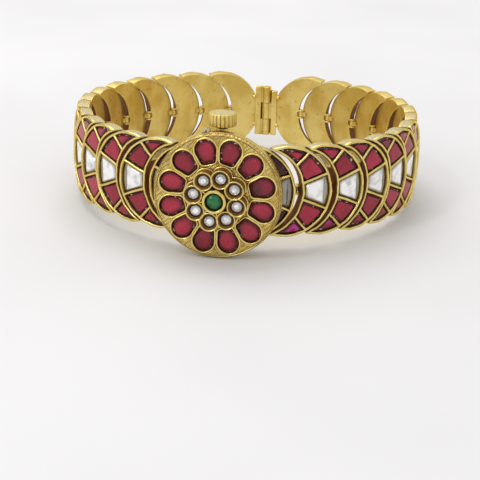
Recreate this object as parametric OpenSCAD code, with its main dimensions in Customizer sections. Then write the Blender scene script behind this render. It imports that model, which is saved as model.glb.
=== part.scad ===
// Stone-set link bracelet with a watch-shaped head. It lies on its side with the head towards -Y and the
// clasp towards +Y. The origin is on the surface that it lies on, in the middle of its length and width.

/* [Ring] */
// Radius of the ring, measured to the outer faces of the links
ring_r = 28.1; // [27.8:0.1:28.6]
// Crescent links on each side of the head
links_per_side = 14; // [14]
// Distance along the ring from the head's axis to the first link's hollow rim
head_gap = 6.76; // [6.6:0.02:6.9]
// Distance along the ring from the last link's hollow rim to the middle of the clasp
clasp_gap = 6.18; // [6.1:0.02:6.3]
// Angle by which the round side of each link stands out of the ring
link_lean = 5.4; // [4.5:0.1:6]

/* [Link] */
// Radius of both arcs of the crescent, at the middle of the rim
arc_r = 6.8; // [6.7:0.05:6.9]
// Width of the crescent between the two rims, at the middle of the rims
link_w = 4.2; // [4:0.05:4.3]
// Thickness of the link
link_t = 2; // [1.8:0.1:2.1]
// Thickness of the back plate under the cells
floor_t = 0.8; // [0.6:0.1:0.9]
// Width of the rim at its top
rim_w = 0.4; // [0.3:0.05:0.5]
// Width of the dividers between the cells
divider_w = 0.42; // [0.36:0.02:0.48]
// How far the round side is bevelled back at the back of the link
back_bevel = 0.15; // [0.1:0.05:0.3]
// Width of the sloping ledge along the hollow side
ledge_w = 0.3; // [0.25:0.05:0.45]
// Thickness of that ledge at its edge
ledge_t = 0.45; // [0.4:0.05:0.6]
// Room between a link and the round side of the link before it
link_gap = 0.28; // [0.24:0.02:0.34]

/* [Stones] */
// Room between a stone and the walls and floor of its cell
stone_gap = 0.08; // [0.06:0.01:0.1]
// Depth of a link stone's table below the top of the rim
table_drop = 0.12; // [0.08:0.02:0.2]
// Height of the bevelled facets of a stone
bevel_h = 0.3; // [0.2:0.05:0.4]
// Size of a stone's table as a share of its outline
table_share = 0.72; // [0.6:0.02:0.8]
// Length cut off each corner of a link stone
corner_cut = 0.28; // [0.2:0.02:0.34]

/* [Head] */
// Radius of the round cover
cover_r = 9.5; // [9.3:0.05:9.6]
// Thickness of the cover up to the field between the petals
cover_t = 2.2; // [2:0.1:2.4]
// Distance from the ring's axis to the back of the cover
cover_back = 28.8; // [28.7:0.05:29]
// Radius of the drum behind the cover
drum_r = 4.85; // [4.6:0.05:4.9]
// Petal cells round the cover
petals = 12; // [12]
// Distance from the head's axis to the round end of a petal cell
petal_ring_r = 7.15; // [7.1:0.05:7.2]
// Radius of the round end of a petal cell
petal_r = 1.57; // [1.5:0.01:1.6]
// Height of the raised flower above the field
flower_h = 2.1; // [1.8:0.1:2.4]
// Round cells in the flower
flower_cells = 8; // [8]
// Distance from the head's axis to the middle of a round cell
flower_ring_r = 3.3; // [3.25:0.01:3.35]
// Radius of a round cell
round_cell_r = 1.12; // [1.05:0.01:1.14]
// Outer radius of the collar round the middle stone
collar_r = 1.77; // [1.7:0.01:1.8]
// Radius of the middle stone's seat
seat_r = 1.32; // [1.25:0.01:1.36]

/* [Crown] */
// Radius of the winding crown over its flutes
crown_r = 2.05; // [1.9:0.05:2.1]
// Height of the winding crown
crown_h = 1.95; // [1.8:0.05:2.1]
// Height of the crown's lower face above the head's axis
crown_z = 9.8; // [9.8:0.05:10]
// Flutes round the crown
flutes = 20; // [18:1:24]
// Radius of the stem that the crown turns on
stem_r = 0.45; // [0.4:0.01:0.45]

/* [Clasp] */
// Radius of the clasp's barrel
barrel_r = 0.8; // [0.75:0.05:0.8]
// Height of the clasp's barrel
clasp_h = 9; // [8.6:0.1:9.4]
// Distance from the ring's axis to the axis of the barrel
clasp_back = 27; // [26.9:0.05:27.1]
// Outer edge of a clasp leaf from the middle of the clasp
leaf_edge = 2; // [1.95:0.05:2.1]

/* [Hidden] */
$fn = 96;
SLOP = 0.1;                                   // how far a cutter passes the face it cuts
DEG = 180 / PI;

// The ring's layout. Angles start at the head and run to the clasp.
first_angle = head_gap / ring_r * DEG;
last_angle = 180 - clasp_gap / ring_r * DEG;
link_step = (last_angle - first_angle) / (links_per_side - 1);
function link_angle(n) = first_angle + (n - 1) * link_step;

// A point of link n in plan: u runs along the link towards the clasp, and the outer face is at 0 depth.
function turned(p, a) = [p[0] * cos(a) - p[1] * sin(a), p[0] * sin(a) + p[1] * cos(a)];
function plan_point(n, u, depth) = turned(turned([u, depth], -link_lean) - [0, ring_r], link_angle(n));

// The crescent's two circles lie on its middle line.
hollow_c = -arc_r;
round_c = link_w - arc_r;
pocket_hollow_r = arc_r + rim_w / 2;
pocket_round_r = arc_r - rim_w / 2;
half_height = arc_r + rim_w / 2;
bevel_top = 1.1;                              // height at which the round side's bevel ends
ledge_top = 1.5;                              // height at which the ledge meets the hollow rim

// The four dividers are spokes: each starts from a point on the middle line and rises at an angle.
spoke_start = [-3.11, -4.79];
spoke_angle = [22.2, 47.6];
spoke_length = 12;

// The hinge in each gap between two links
pivot_back = 0.95 / ring_r * DEG;             // from a link's hollow rim back to the pin
pivot_r = ring_r - 1.5;
knuckle_r = 0.38;
knuckle_h = 0.8;
web_half = 0.27;                              // half the thickness of what carries the knuckle
knuckle_room = 0.1;                           // round the knuckle and the ears
ear_t = 0.3;
link_pin_r = 0.18;
link_bore_r = 0.25;
ear_reach = 0.75;                             // from the pin into the link that holds it
web_reach = 0.95;                             // from the pin into the link before it

// The head. Heights on it are measured forwards from the back of the cover.
drum_front = cover_back - 0.05;
drum_back = 25.85;
rim_chamfer = 0.35;
bevel_start = 1.5;
bevel_in = 0.42;
petal_rim_w = 0.34;
petal_rim_h = 0.22;
petal_floor = 0.9;
petal_mouth = 0.3;                            // from the round end's centre to where the sides start
petal_mouth_half = 1.5;                       // half width there
petal_heel = 2.15;                            // from the round end's centre to the inner end
petal_heel_half = 1.05;                       // half width there
heel_cut = 0.35;                              // corner cut off the petal stone at the inner end
petal_share = 0.66;
cell_rim_w = 0.3;
cell_rim_h = 0.35;
cell_rim_step = 0.06;                         // how far a cell's rim stands out over its wall
cell_floor = 3.3;
cell_drop = 0.45;                             // depth of a flower stone's table below the cell's rim
cell_share = 0.6;
flower_phase = 13.3;
flower_base_r = flower_ring_r + 0.4;
flower_top = cover_t + flower_h;
collar_top = flower_top + 0.95;
seat_floor = collar_top - 1.35;
seat_share = 0.68;
lip_angle = 13.5;
lip_bead_r = 0.27;
lip_out = 0.12;
lip_pitch = 0.42;

// The crown and its stem
crown_back = 27.3;
crown_edge = 0.2;
crown_bore = 1.5;
flute_r = 0.16;
flute_out = 0.03;
tube_r = 0.85;
tube_top = crown_z - 0.3;
tube_foot = 5.4;
stem_foot = 5.6;
stem_play = 0.1;
stem_bore_r = stem_r + 0.05;

// The clasp
leaf_in = barrel_r + 0.1;
leaf_y = [26.4, 27.3];
middle_h = 2.9;
leaf_play = 0.1;
right_leaf_top = 3.8;
clasp_pin_r = 0.38;
clasp_bore_r = 0.45;
drop_r = 0.3;
drop_z = 2.6;
drop_out = 0.06;
drop_in = 0.22;

// The bracelet leans on the rim of its head and on its last two links.
rest_foot_front = cover_back + rim_chamfer;
rest_foot_back = plan_point(links_per_side, round_c, 0)[1];
rest_tilt = atan((cover_r - half_height) / (rest_foot_front + rest_foot_back));
rest_lift = cover_r * cos(rest_tilt) - rest_foot_front * sin(rest_tilt);
front_reach = (cover_back + collar_top) * cos(rest_tilt) + collar_r * sin(rest_tilt);
back_reach = plan_point(links_per_side, round_c + half_height, 0)[1] * cos(rest_tilt);
rest_shift = (front_reach - back_reach) / 2;

module at_rest() {
    translate([0, rest_shift, rest_lift]) rotate([-rest_tilt, 0, 0]) children();
}

// Places what is drawn for the right side: side is 1 there, and -1 mirrors it to the left.
module on_side(side) {
    at_rest() mirror([side < 0 ? 1 : 0, 0, 0]) children();
}

// In a link's own frame X runs towards the clasp, Y up and Z outwards from the back of the link.
module on_link(n) {
    rotate([0, 0, link_angle(n)])
        translate([0, -ring_r, 0])
            rotate([0, 0, -link_lean])
                translate([0, link_t, 0])
                    rotate([90, 0, 0]) children();
}

// The pin between link n and the piece before it, with X along the ring and Z along the pin
module on_pivot(n) {
    rotate([0, 0, link_angle(n) - pivot_back]) translate([0, -pivot_r, 0]) children();
}

// On the head X is to the right, Y up and Z forwards from the back of the cover.
module on_head() {
    at_rest() translate([0, -cover_back, 0]) rotate([90, 0, 0]) children();
}

// The disc that a link's round side is part of, made larger all round by grow
module round_disc(grow) {
    r = half_height + grow;
    translate([round_c, 0, 0])
        rotate_extrude()
            polygon([
                [0, -grow], [r - back_bevel * (1 + grow / bevel_top), -grow], [r, bevel_top],
                [r, link_t + grow], [0, link_t + grow]]);
}

module crescent() {
    r = arc_r - rim_w / 2;
    difference() {
        round_disc(0);
        translate([hollow_c, 0, 0])
            rotate_extrude()
                polygon([
                    [0, -SLOP], [r - ledge_w, -SLOP], [r - ledge_w, ledge_t], [r, ledge_top],
                    [r, link_t + SLOP], [0, link_t + SLOP]]);
    }
}

module spokes() {
    for (up = [0, 1], i = [0, 1]) {
        mirror([0, up, 0])
            translate([spoke_start[i], 0, 0])
                rotate([0, 0, spoke_angle[i]])
                    translate([0, -divider_w / 2, 0]) cube([spoke_length, divider_w, link_t + 2 * SLOP]);
    }
}

module cells() {
    translate([0, 0, floor_t])
        difference() {
            translate([round_c, 0, 0]) cylinder(h = link_t, r = pocket_round_r);
            translate([hollow_c, 0, -SLOP]) cylinder(h = link_t + 2 * SLOP, r = pocket_hollow_r);
            translate([0, 0, -SLOP / 2]) spokes();
        }
}

module hinge_ears() {
    for (up = [0, 1]) {
        mirror([0, 0, up])
            translate([0, 0, knuckle_h / 2 + knuckle_room]) {
                cylinder(h = ear_t, r = knuckle_r);
                translate([0, -knuckle_r, 0]) cube([ear_reach, 2 * knuckle_r, ear_t]);
            }
    }
    cylinder(h = knuckle_h + 2 * knuckle_room + ear_t, r = link_pin_r, center = true);
}

// The notch between the ears
module ear_notch() {
    notch_h = knuckle_h + 2 * knuckle_room;
    reach = knuckle_r + knuckle_room;
    translate([-link_t / 2, -link_t / 2, -notch_h / 2]) cube([link_t / 2 + reach, link_t, notch_h]);
}

// The hollow in the round side that the ears turn in
module ear_room() {
    cylinder(h = knuckle_h + 2 * ear_t + 4 * knuckle_room, r = knuckle_r + knuckle_room, center = true);
}

module hinge_knuckle() {
    difference() {
        union() {
            cylinder(h = knuckle_h, r = knuckle_r, center = true);
            translate([-web_reach, -web_half, -knuckle_h / 2])
                cube([web_reach - link_bore_r, 2 * web_half, knuckle_h]);
        }
        cylinder(h = knuckle_h + 2 * SLOP, r = link_bore_r, center = true);
    }
}

// One leaf of the clasp on the right side, from z_low to z_high
module clasp_leaf(z_low, z_high) {
    translate([leaf_in, leaf_y[0], z_low])
        cube([leaf_edge - leaf_in, leaf_y[1] - leaf_y[0], z_high - z_low]);
    for (up = [0, 1]) {
        mirror([0, 0, up])
            translate([leaf_edge + drop_out, leaf_y[0] + drop_in, drop_z])
                cylinder(h = 2 * drop_r, r = drop_r, center = true);
    }
}

// One knuckle of the clasp's barrel, joined to the leaf on the right side
module clasp_knuckle(z_low, z_high) {
    h = z_high - z_low;
    web_t = leaf_y[1] - leaf_y[0] - 2 * leaf_play;
    translate([0, 0, z_low])
        difference() {
            union() {
                translate([0, clasp_back, 0]) cylinder(h = h, r = barrel_r);
                translate([barrel_r / 2, leaf_y[0] + leaf_play, 0])
                    cube([leaf_in - barrel_r / 2 + SLOP, web_t, h]);
            }
            translate([0, clasp_back, -SLOP]) cylinder(h = h + 2 * SLOP, r = clasp_bore_r);
        }
}

module link_metal(n) {
    difference() {
        on_link(n) crescent();
        on_link(n) cells();
        on_link(n - 1) round_disc(link_gap);
        on_pivot(n) ear_notch();
        if (n < links_per_side) on_pivot(n + 1) ear_room();
    }
    on_pivot(n) hinge_ears();
    if (n < links_per_side) on_pivot(n + 1) hinge_knuckle();
}

// The left half of the clasp has the two outer knuckles.
module link_left(n) {
    color("goldenrod")
        on_side(-1) {
            link_metal(n);
            if (n == links_per_side) {
                clasp_leaf(-clasp_h / 2, clasp_h / 2);
                clasp_knuckle(middle_h / 2 + leaf_play, clasp_h / 2);
                clasp_knuckle(-clasp_h / 2, -middle_h / 2 - leaf_play);
            }
        }
}

// The right half of the clasp has the middle knuckle and a shorter leaf.
module link_right(n) {
    color("goldenrod")
        on_side(1) {
            link_metal(n);
            if (n == links_per_side) {
                clasp_leaf(-clasp_h / 2, right_leaf_top);
                clasp_knuckle(-middle_h / 2, middle_h / 2);
            }
        }
}

module clasp_pin() {
    color("darkgoldenrod")
        at_rest()
            translate([0, clasp_back, 0])
                cylinder(h = clasp_h - 2 * leaf_play, r = clasp_pin_r, center = true);
}

// A cut stone: the outline from foot to girdle, then one ring of facets up to a flat table
function middle(points) = [for (k = [0, 1]) [for (p = points) p[k]] * [for (p = points) 1] / len(points)];
function ring_at(points, share, h) =
    [for (p = points) let (m = middle(points), q = m + share * (p - m)) [q[0], q[1], h]];

module cut_stone(points, foot, top, share) {
    n = len(points);
    sides = [for (level = [0, 1], i = [0 : n - 1])
        [level * n + i, level * n + (i + 1) % n, (level + 1) * n + (i + 1) % n, (level + 1) * n + i]];
    polyhedron(
        points = concat(
            ring_at(points, 1, foot), ring_at(points, 1, top - bevel_h), ring_at(points, share, top)),
        faces = concat([[for (i = [n - 1 : -1 : 0]) i]], sides, [[for (i = [0 : n - 1]) 2 * n + i]]),
        convexity = 4);
}

// Where a spoke, moved sideways, meets a circle centred on the middle line
function spoke_meets(i, shift, centre, r) =
    let (d = [cos(spoke_angle[i]), sin(spoke_angle[i])],
         start = [spoke_start[i] - centre, 0] + shift * [-d[1], d[0]],
         along = start * d)
    [centre, 0] + start + (sqrt(r * r - start * start + along * along) - along) * d;

// The upper point where the two inset circles of the crescent meet
function horn_point(hollow_r, round_r) =
    let (x = (hollow_r * hollow_r - round_r * round_r + round_c * round_c - hollow_c * hollow_c)
             / (2 * (round_c - hollow_c)))
    [x, sqrt(hollow_r * hollow_r - (x - hollow_c) * (x - hollow_c))];

// The point halfway along a circle's arc from p to q
function mid_arc(p, q, centre, r) =
    let (v = (p + q) / 2 - [centre, 0]) [centre, 0] + r * v / norm(v);

function step_towards(p, q, length) = p + length * (q - p) / norm(q - p);

// Corners in order, with one entry for each side's middle point, or 0 where that side is straight
function cut_corners(corners, middles) =
    let (n = len(corners))
    [for (i = [0 : n - 1])
        let (p = corners[i], q = corners[(i + 1) % n], m = middles[i])
        each concat(
            [step_towards(p, m == 0 ? q : m, corner_cut)],
            m == 0 ? [] : [m],
            [step_towards(q, m == 0 ? p : m, corner_cut)])];

side_gap = divider_w / 2 + stone_gap;
stone_hollow_r = pocket_hollow_r + stone_gap;
stone_round_r = pocket_round_r - stone_gap;

function flipped(points) = [for (i = [len(points) - 1 : -1 : 0]) [points[i][0], -points[i][1]]];

white_outline =
    let (a = spoke_meets(0, -side_gap, hollow_c, stone_hollow_r),
         b = spoke_meets(0, -side_gap, round_c, stone_round_r))
    cut_corners(
        [[a[0], -a[1]], [b[0], -b[1]], b, a],
        [0, [round_c + stone_round_r, 0], 0, [hollow_c + stone_hollow_r, 0]]);

ruby_outline =
    let (a = spoke_meets(0, side_gap, hollow_c, stone_hollow_r),
         b = spoke_meets(0, side_gap, round_c, stone_round_r),
         c = spoke_meets(1, -side_gap, round_c, stone_round_r),
         d = spoke_meets(1, -side_gap, hollow_c, stone_hollow_r))
    cut_corners(
        [a, b, c, d],
        [0, mid_arc(b, c, round_c, stone_round_r), 0, mid_arc(d, a, hollow_c, stone_hollow_r)]);

horn_outline =
    let (a = spoke_meets(1, side_gap, hollow_c, stone_hollow_r),
         b = spoke_meets(1, side_gap, round_c, stone_round_r),
         c = horn_point(stone_hollow_r, stone_round_r))
    cut_corners(
        [a, b, c],
        [0, mid_arc(b, c, round_c, stone_round_r), mid_arc(c, a, hollow_c, stone_hollow_r)]);

module link_stone(outline) {
    cut_stone(outline, floor_t + stone_gap, link_t - table_drop, table_share);
}

module ruby_field(side) {
    color("firebrick")
        for (n = [1 : links_per_side]) {
            on_side(side) on_link(n) {
                link_stone(ruby_outline);
                link_stone(flipped(ruby_outline));
                link_stone(horn_outline);
                link_stone(flipped(horn_outline));
            }
        }
}

module link_rubies_right() {
    ruby_field(1);
}

module link_rubies_left() {
    ruby_field(-1);
}

module link_whites() {
    color("gainsboro")
        for (side = [-1, 1], n = [1 : links_per_side]) {
            on_side(side) on_link(n) link_stone(white_outline);
        }
}

// Stands on the head at the place of petal cell k, with Y towards the rim.
module at_petal(k) {
    rotate([0, 0, -(k - 0.5) * 360 / petals]) translate([0, petal_ring_r, 0]) children();
}

module petal_prism(grow, h_low, h_high) {
    heel = petal_heel + grow;
    translate([0, 0, h_low])
        linear_extrude(height = h_high - h_low)
            union() {
                circle(r = petal_r + grow);
                polygon([
                    [-petal_mouth_half - grow, -petal_mouth], [-petal_heel_half - grow, -heel],
                    [petal_heel_half + grow, -heel], [petal_mouth_half + grow, -petal_mouth]]);
            }
}

module at_round_cell(k) {
    rotate([0, 0, -flower_phase - k * 360 / flower_cells]) translate([0, flower_ring_r, 0]) children();
}

module cover_plate() {
    rotate_extrude()
        polygon([
            [0, 0], [cover_r - rim_chamfer, 0], [cover_r, rim_chamfer], [cover_r, bevel_start],
            [cover_r - bevel_in, cover_t], [0, cover_t]]);
}

module raised_flower() {
    for (k = [0 : flower_cells - 1]) {
        at_round_cell(k) {
            cylinder(h = flower_top, r = round_cell_r + cell_rim_w - cell_rim_step);
            cylinder(h = flower_top + cell_rim_h, r = round_cell_r + cell_rim_w);
        }
    }
    cylinder(h = flower_top, r = flower_base_r);
    cylinder(h = collar_top, r = collar_r);
}

module head_cover() {
    color("goldenrod")
        on_head()
            difference() {
                union() {
                    cover_plate();
                    for (k = [1 : petals]) {
                        at_petal(k) petal_prism(petal_rim_w, rim_chamfer, cover_t + petal_rim_h);
                    }
                    raised_flower();
                    cover_lip();
                }
                for (k = [1 : petals]) {
                    at_petal(k) petal_prism(0, petal_floor, cover_t + 1);
                }
                for (k = [0 : flower_cells - 1]) {
                    at_round_cell(k)
                        translate([0, 0, cell_floor]) cylinder(h = collar_top, r = round_cell_r);
                }
                translate([0, 0, seat_floor]) cylinder(h = collar_top, r = seat_r);
            }
}

// The small knurled lip on the edge of the cover, beside the crown
module cover_lip() {
    for (i = [-1 : 1]) {
        rotate([0, 0, lip_angle + i * lip_pitch / cover_r * DEG])
            translate([0, cover_r + lip_out, rim_chamfer])
                cylinder(h = bevel_start - rim_chamfer, r = lip_bead_r);
    }
}

module head_case() {
    color("goldenrod")
        at_rest() {
            difference() {
                union() {
                    translate([0, -drum_back, 0])
                        rotate([90, 0, 0]) cylinder(h = drum_front - drum_back, r = drum_r);
                    translate([0, -crown_back, 0]) cylinder(h = tube_top, r = tube_r);
                }
                translate([0, -crown_back, tube_foot]) cylinder(h = tube_top, r = stem_bore_r);
            }
            on_pivot(1) hinge_knuckle();
            mirror([1, 0, 0]) on_pivot(1) hinge_knuckle();
        }
}

module crown_stem() {
    color("darkgoldenrod")
        at_rest()
            translate([0, -crown_back, stem_foot])
                cylinder(h = crown_z + crown_bore - stem_play - stem_foot, r = stem_r);
}

module crown() {
    color("gold")
        at_rest()
            translate([0, -crown_back, crown_z])
                difference() {
                    rotate_extrude()
                        polygon([
                            [0, 0], [crown_r - crown_edge, 0], [crown_r, crown_edge],
                            [crown_r, crown_h - 1.5 * crown_edge], [crown_r - 1.5 * crown_edge, crown_h],
                            [0, crown_h]]);
                    translate([0, 0, -SLOP]) cylinder(h = crown_bore + SLOP, r = stem_bore_r);
                    for (k = [0 : flutes - 1]) {
                        rotate([0, 0, k * 360 / flutes])
                            translate([crown_r + flute_out, 0, -SLOP])
                                cylinder(h = crown_h + 2 * SLOP, r = flute_r, $fn = 24);
                    }
                }
}

// The petal stone's outline: round at the rim end and blunt at the inner end
petal_points = concat(
    [for (a = [-10 : 25 : 190]) (petal_r - stone_gap) * [cos(a), sin(a)]],
    let (half = petal_heel_half - stone_gap / 2, foot = stone_gap - petal_heel)
    [[-half - heel_cut / 4, foot + heel_cut], [-half + heel_cut, foot], [half - heel_cut, foot],
     [half + heel_cut / 4, foot + heel_cut]]);

module petal_ruby(k) {
    color("firebrick")
        on_head() at_petal(k)
            cut_stone(
                petal_points, petal_floor + stone_gap, cover_t + petal_rim_h - table_drop, petal_share);
}

function regular(n, r) = [for (i = [0 : n - 1]) r * [cos((i + 0.5) * 360 / n), sin((i + 0.5) * 360 / n)]];

module flower_whites() {
    color("white")
        for (k = [0 : flower_cells - 1]) {
            on_head() at_round_cell(k)
                cut_stone(
                    regular(8, round_cell_r - stone_gap), cell_floor + stone_gap,
                    flower_top + cell_rim_h - cell_drop, cell_share);
        }
}

module green_stone() {
    color("darkgreen")
        on_head()
            cut_stone(
                regular(12, seat_r - stone_gap), seat_floor + stone_gap, collar_top - table_drop,
                seat_share);
}

function two_digits(n) = n < 10 ? str("0", n) : str(n);

head_case();
head_cover();
flower_whites();
green_stone();
crown_stem();
crown();
clasp_pin();
link_rubies_right();
link_rubies_left();
link_whites();
for (k = [1 : petals]) {
    petal_ruby(k);
}
for (n = [1 : links_per_side]) {
    link_right(n);
    link_left(n);
}
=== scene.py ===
"""A stone-set link bracelet with a watch-shaped head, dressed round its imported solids.

Sizes are in millimetres, and become metres when a mesh is made.
"""

import bmesh
import bpy
import numpy as np
from mathutils import Matrix, Vector


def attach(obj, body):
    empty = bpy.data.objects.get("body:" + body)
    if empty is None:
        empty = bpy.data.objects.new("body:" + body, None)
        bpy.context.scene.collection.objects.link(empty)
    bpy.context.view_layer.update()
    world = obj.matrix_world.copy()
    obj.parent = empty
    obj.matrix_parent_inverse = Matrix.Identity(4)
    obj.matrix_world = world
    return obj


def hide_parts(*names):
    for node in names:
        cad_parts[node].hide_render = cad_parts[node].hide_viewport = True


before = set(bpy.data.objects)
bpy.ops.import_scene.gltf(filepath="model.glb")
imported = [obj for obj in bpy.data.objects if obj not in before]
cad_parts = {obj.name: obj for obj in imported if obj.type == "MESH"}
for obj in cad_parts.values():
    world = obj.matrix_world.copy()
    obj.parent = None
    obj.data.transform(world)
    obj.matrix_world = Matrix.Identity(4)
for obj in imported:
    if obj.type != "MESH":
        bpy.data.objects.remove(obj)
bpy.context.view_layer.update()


# The crescent links: twenty-eight cast gold plates, fourteen from each side of the head to the clasp. Each has
# thin polished rims along both arcs, four dividers, a sloping ledge on its hollow side and a satin back that
# lies on the wrist. A small barrel hinge joins it to the link before it.
ring_r, links_per_side = 28.1, 14
head_to_first, last_to_clasp = 6.76, 6.18
first_link, last_link = np.degrees(head_to_first / ring_r), 180 - np.degrees(last_to_clasp / ring_r)
link_step = (last_link - first_link) / (links_per_side - 1)
link_lean = 5.4
arc_r, link_w, link_t = 6.8, 4.2, 2.0
hollow_x, round_x = -arc_r, link_w - arc_r
rim_half, divider_half = 0.2, 0.21
cell_floor = 0.86
ledge_front, ledge_back, ledge_narrow, ledge_low, ledge_high = 6.3, 6.1, 6.52, 0.45, 1.5
back_bevel, bevel_top = 0.15, 1.1
link_gap, back_horn_gap, horn_zone = 0.28, 0.13, (2.4, 3.6)
notch_x, notch_half = -0.47, 0.45
spokes = ((-3.11, 22.2), (-4.79, 47.6))
middle_foot, horn_step, horn_angle, tip_angle = -2.3, 0.19, 83, 93.1
rest_tilt, rest_shift, rest_lift = 2.56669, 2.67054, 8.18507


def turn(axis, degrees):
    """A 4 by 4 rotation about an axis, by the right-hand rule."""
    a, b = {"X": (1, 2), "Y": (2, 0), "Z": (0, 1)}[axis]
    m = np.eye(4)
    m[a, a] = m[b, b] = np.cos(np.radians(degrees))
    m[b, a] = np.sin(np.radians(degrees))
    m[a, b] = -m[b, a]
    return m


def move(x=0.0, y=0.0, z=0.0):
    """A 4 by 4 shift."""
    m = np.eye(4)
    m[:3, 3] = x, y, z
    return m


def side_of(side):
    """The right side as it is for 1, and mirrored to the left for -1."""
    return np.diag([side, 1, 1, 1]).astype(float)


at_rest = move(0, rest_shift, rest_lift) @ turn("X", -rest_tilt)


def ring_place(angle):
    """From axes with X along the ring and Z up, on the ring's outer face, to the ring's own axes."""
    return turn("Z", angle) @ move(0, -ring_r, 0)


def link_angle(n):
    """How far round the ring link n sits from the head, in degrees."""
    return first_link + (n - 1) * link_step


def link_place(n):
    """From a link's axes (X towards the clasp, Y up, Z outwards from its back) to the ring's axes."""
    return ring_place(link_angle(n)) @ turn("Z", -link_lean) @ move(0, link_t, 0) @ turn("X", 90)


def put(place, grid):
    """A grid's first three columns moved by a 4 by 4 matrix. The marks after them stay."""
    moved = grid.copy()
    moved[..., :3] = grid[..., :3] @ place[:3, :3].T + place[:3, 3]
    return moved


def marked(x, y, z, first=0.0, second=0.0):
    """Stacks coordinates and a piece's two surface marks into one grid."""
    return np.stack(np.broadcast_arrays(x, y, z, first, second), -1).astype(float)


def shell(grid, ends):
    """A surface from a grid whose rows are loops. Quads join each loop to the next, and a flat face closes the
    first or the last loop where ends says so. The sign of its volume tells whether the faces point outwards."""
    rows, columns = grid.shape[:2]
    number = np.arange(rows * columns).reshape(rows, columns)
    here, there = number[:-1], number[1:]
    quads = np.stack([here, np.roll(here, -1, 1), np.roll(there, -1, 1), there], -1).reshape(-1, 4)
    points = grid.reshape(-1, grid.shape[-1])
    corners = points[quads, :3]
    areas = np.cross(corners[:, 1] - corners[:, 3], corners[:, 2] - corners[:, 0])
    volume = ((corners.mean(1) - points[:, :3].mean(0)) * areas).sum()
    faces = quads.tolist()
    if "first" in ends:
        faces.append(number[0, ::-1].tolist())
    if "last" in ends:
        faces.append(number[-1].tolist())
    return points, faces, volume


def block(low, high, edge, first=0.0, second=0.0):
    """A bar with rounded edges: rounded rectangles stacked up Z, drawn in at both ends along a quarter circle of
    radius edge."""
    low, high = np.array(low, float), np.array(high, float)
    half, middle = (high - low) / 2, (high + low) / 2
    corner = np.array([[1, 1], [-1, 1], [-1, -1], [1, -1]])[:, :, None]
    turns = np.radians([0, 90, 180, 270])[:, None] + np.radians([0, 30, 60, 90])
    q = np.radians([12, 40, 65, 90])
    out = edge * np.r_[np.sin(q), np.sin(q[::-1])][:, None, None]
    drop = edge * (1 - np.cos(q))
    z = np.r_[low[2] + drop, high[2] - drop[::-1]][:, None, None]
    x = middle[0] + corner[:, 0] * (half[0] - edge) + out * np.cos(turns)
    y = middle[1] + corner[:, 1] * (half[1] - edge) + out * np.sin(turns)
    return marked(x, y, z, first, second).reshape(len(z), -1, 5)


def circle(count):
    """So many angles, evenly round a circle."""
    return np.arange(count) * 2 * np.pi / count


def rings(r, angle, z, first=0.0, second=0.0):
    """Loops round Z: the radius along X by the angle's cosine and along Y by its sine, at a height."""
    return marked(r * np.cos(angle), r * np.sin(angle), z, first, second)


def lathe(profile, count, first=0.0, second=0.0):
    """A profile of (radius, height) turned about Z: its loops are circles of count points. A mark is one value,
    or one for each row of the profile."""
    r, z = np.array(profile, float).T[:, :, None]
    return rings(r, circle(count), z, np.reshape(first, (-1, 1)), np.reshape(second, (-1, 1)))


def mesh_piece(name, grids, finish, marks, body, replaced, crease=32.0, merged=False):
    """Makes one object from grids of loops in the ring's axes: puts them at rest, turns each shell outwards,
    and keeps the two marks as attributes on the points. With merged, grids are joined along borders they share."""
    points, faces, count = [], [], 0
    for grid, *ends in grids:
        part, quads, volume = shell(put(at_rest, grid), ends or ("first", "last"))
        if volume < 0:
            quads = [q[::-1] for q in quads]
        points.append(part)
        faces += [[i + count for i in q] for q in quads]
        count += len(part)
    points = np.concatenate(points)
    mesh = bpy.data.meshes.new(name)
    mesh.from_pydata((points[:, :3] / 1000).tolist(), [], faces)
    for k, mark in enumerate(marks):
        layer = mesh.attributes.new(mark, "FLOAT", "POINT")
        layer.data.foreach_set("value", points[:, 3 + k].astype(np.float32))
    if merged:
        work = bmesh.new()
        work.from_mesh(mesh)
        bmesh.ops.remove_doubles(work, verts=work.verts, dist=2e-6)
        bmesh.ops.recalc_face_normals(work, faces=work.faces)
        work.to_mesh(mesh)
        work.free()
    mesh.polygons.foreach_set("use_smooth", np.ones(len(mesh.polygons), bool))
    mesh.set_sharp_from_angle(angle=np.radians(crease))
    mesh.materials.append(finish)
    piece = bpy.data.objects.new(name, mesh)
    bpy.context.scene.collection.objects.link(piece)
    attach(piece, body)
    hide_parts(*replaced)


class Signal:
    """One output of a shader node. An operator on it adds the Math node that does the same."""

    def __init__(self, finish, socket):
        self.finish, self.socket = finish, socket

    def math(self, operation, *values):
        """The Math node of that operation on those values."""
        return self.finish.node("ShaderNodeMath", {"operation": operation}, dict(enumerate(values)))

    def __add__(self, other):
        return self.math("ADD", self, other)

    def __sub__(self, other):
        return self.math("SUBTRACT", self, other)

    def __rsub__(self, other):
        return self.math("SUBTRACT", other, self)

    def __mul__(self, other):
        return self.math("MULTIPLY", self, other)

    __radd__, __rmul__ = __add__, __mul__


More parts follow.
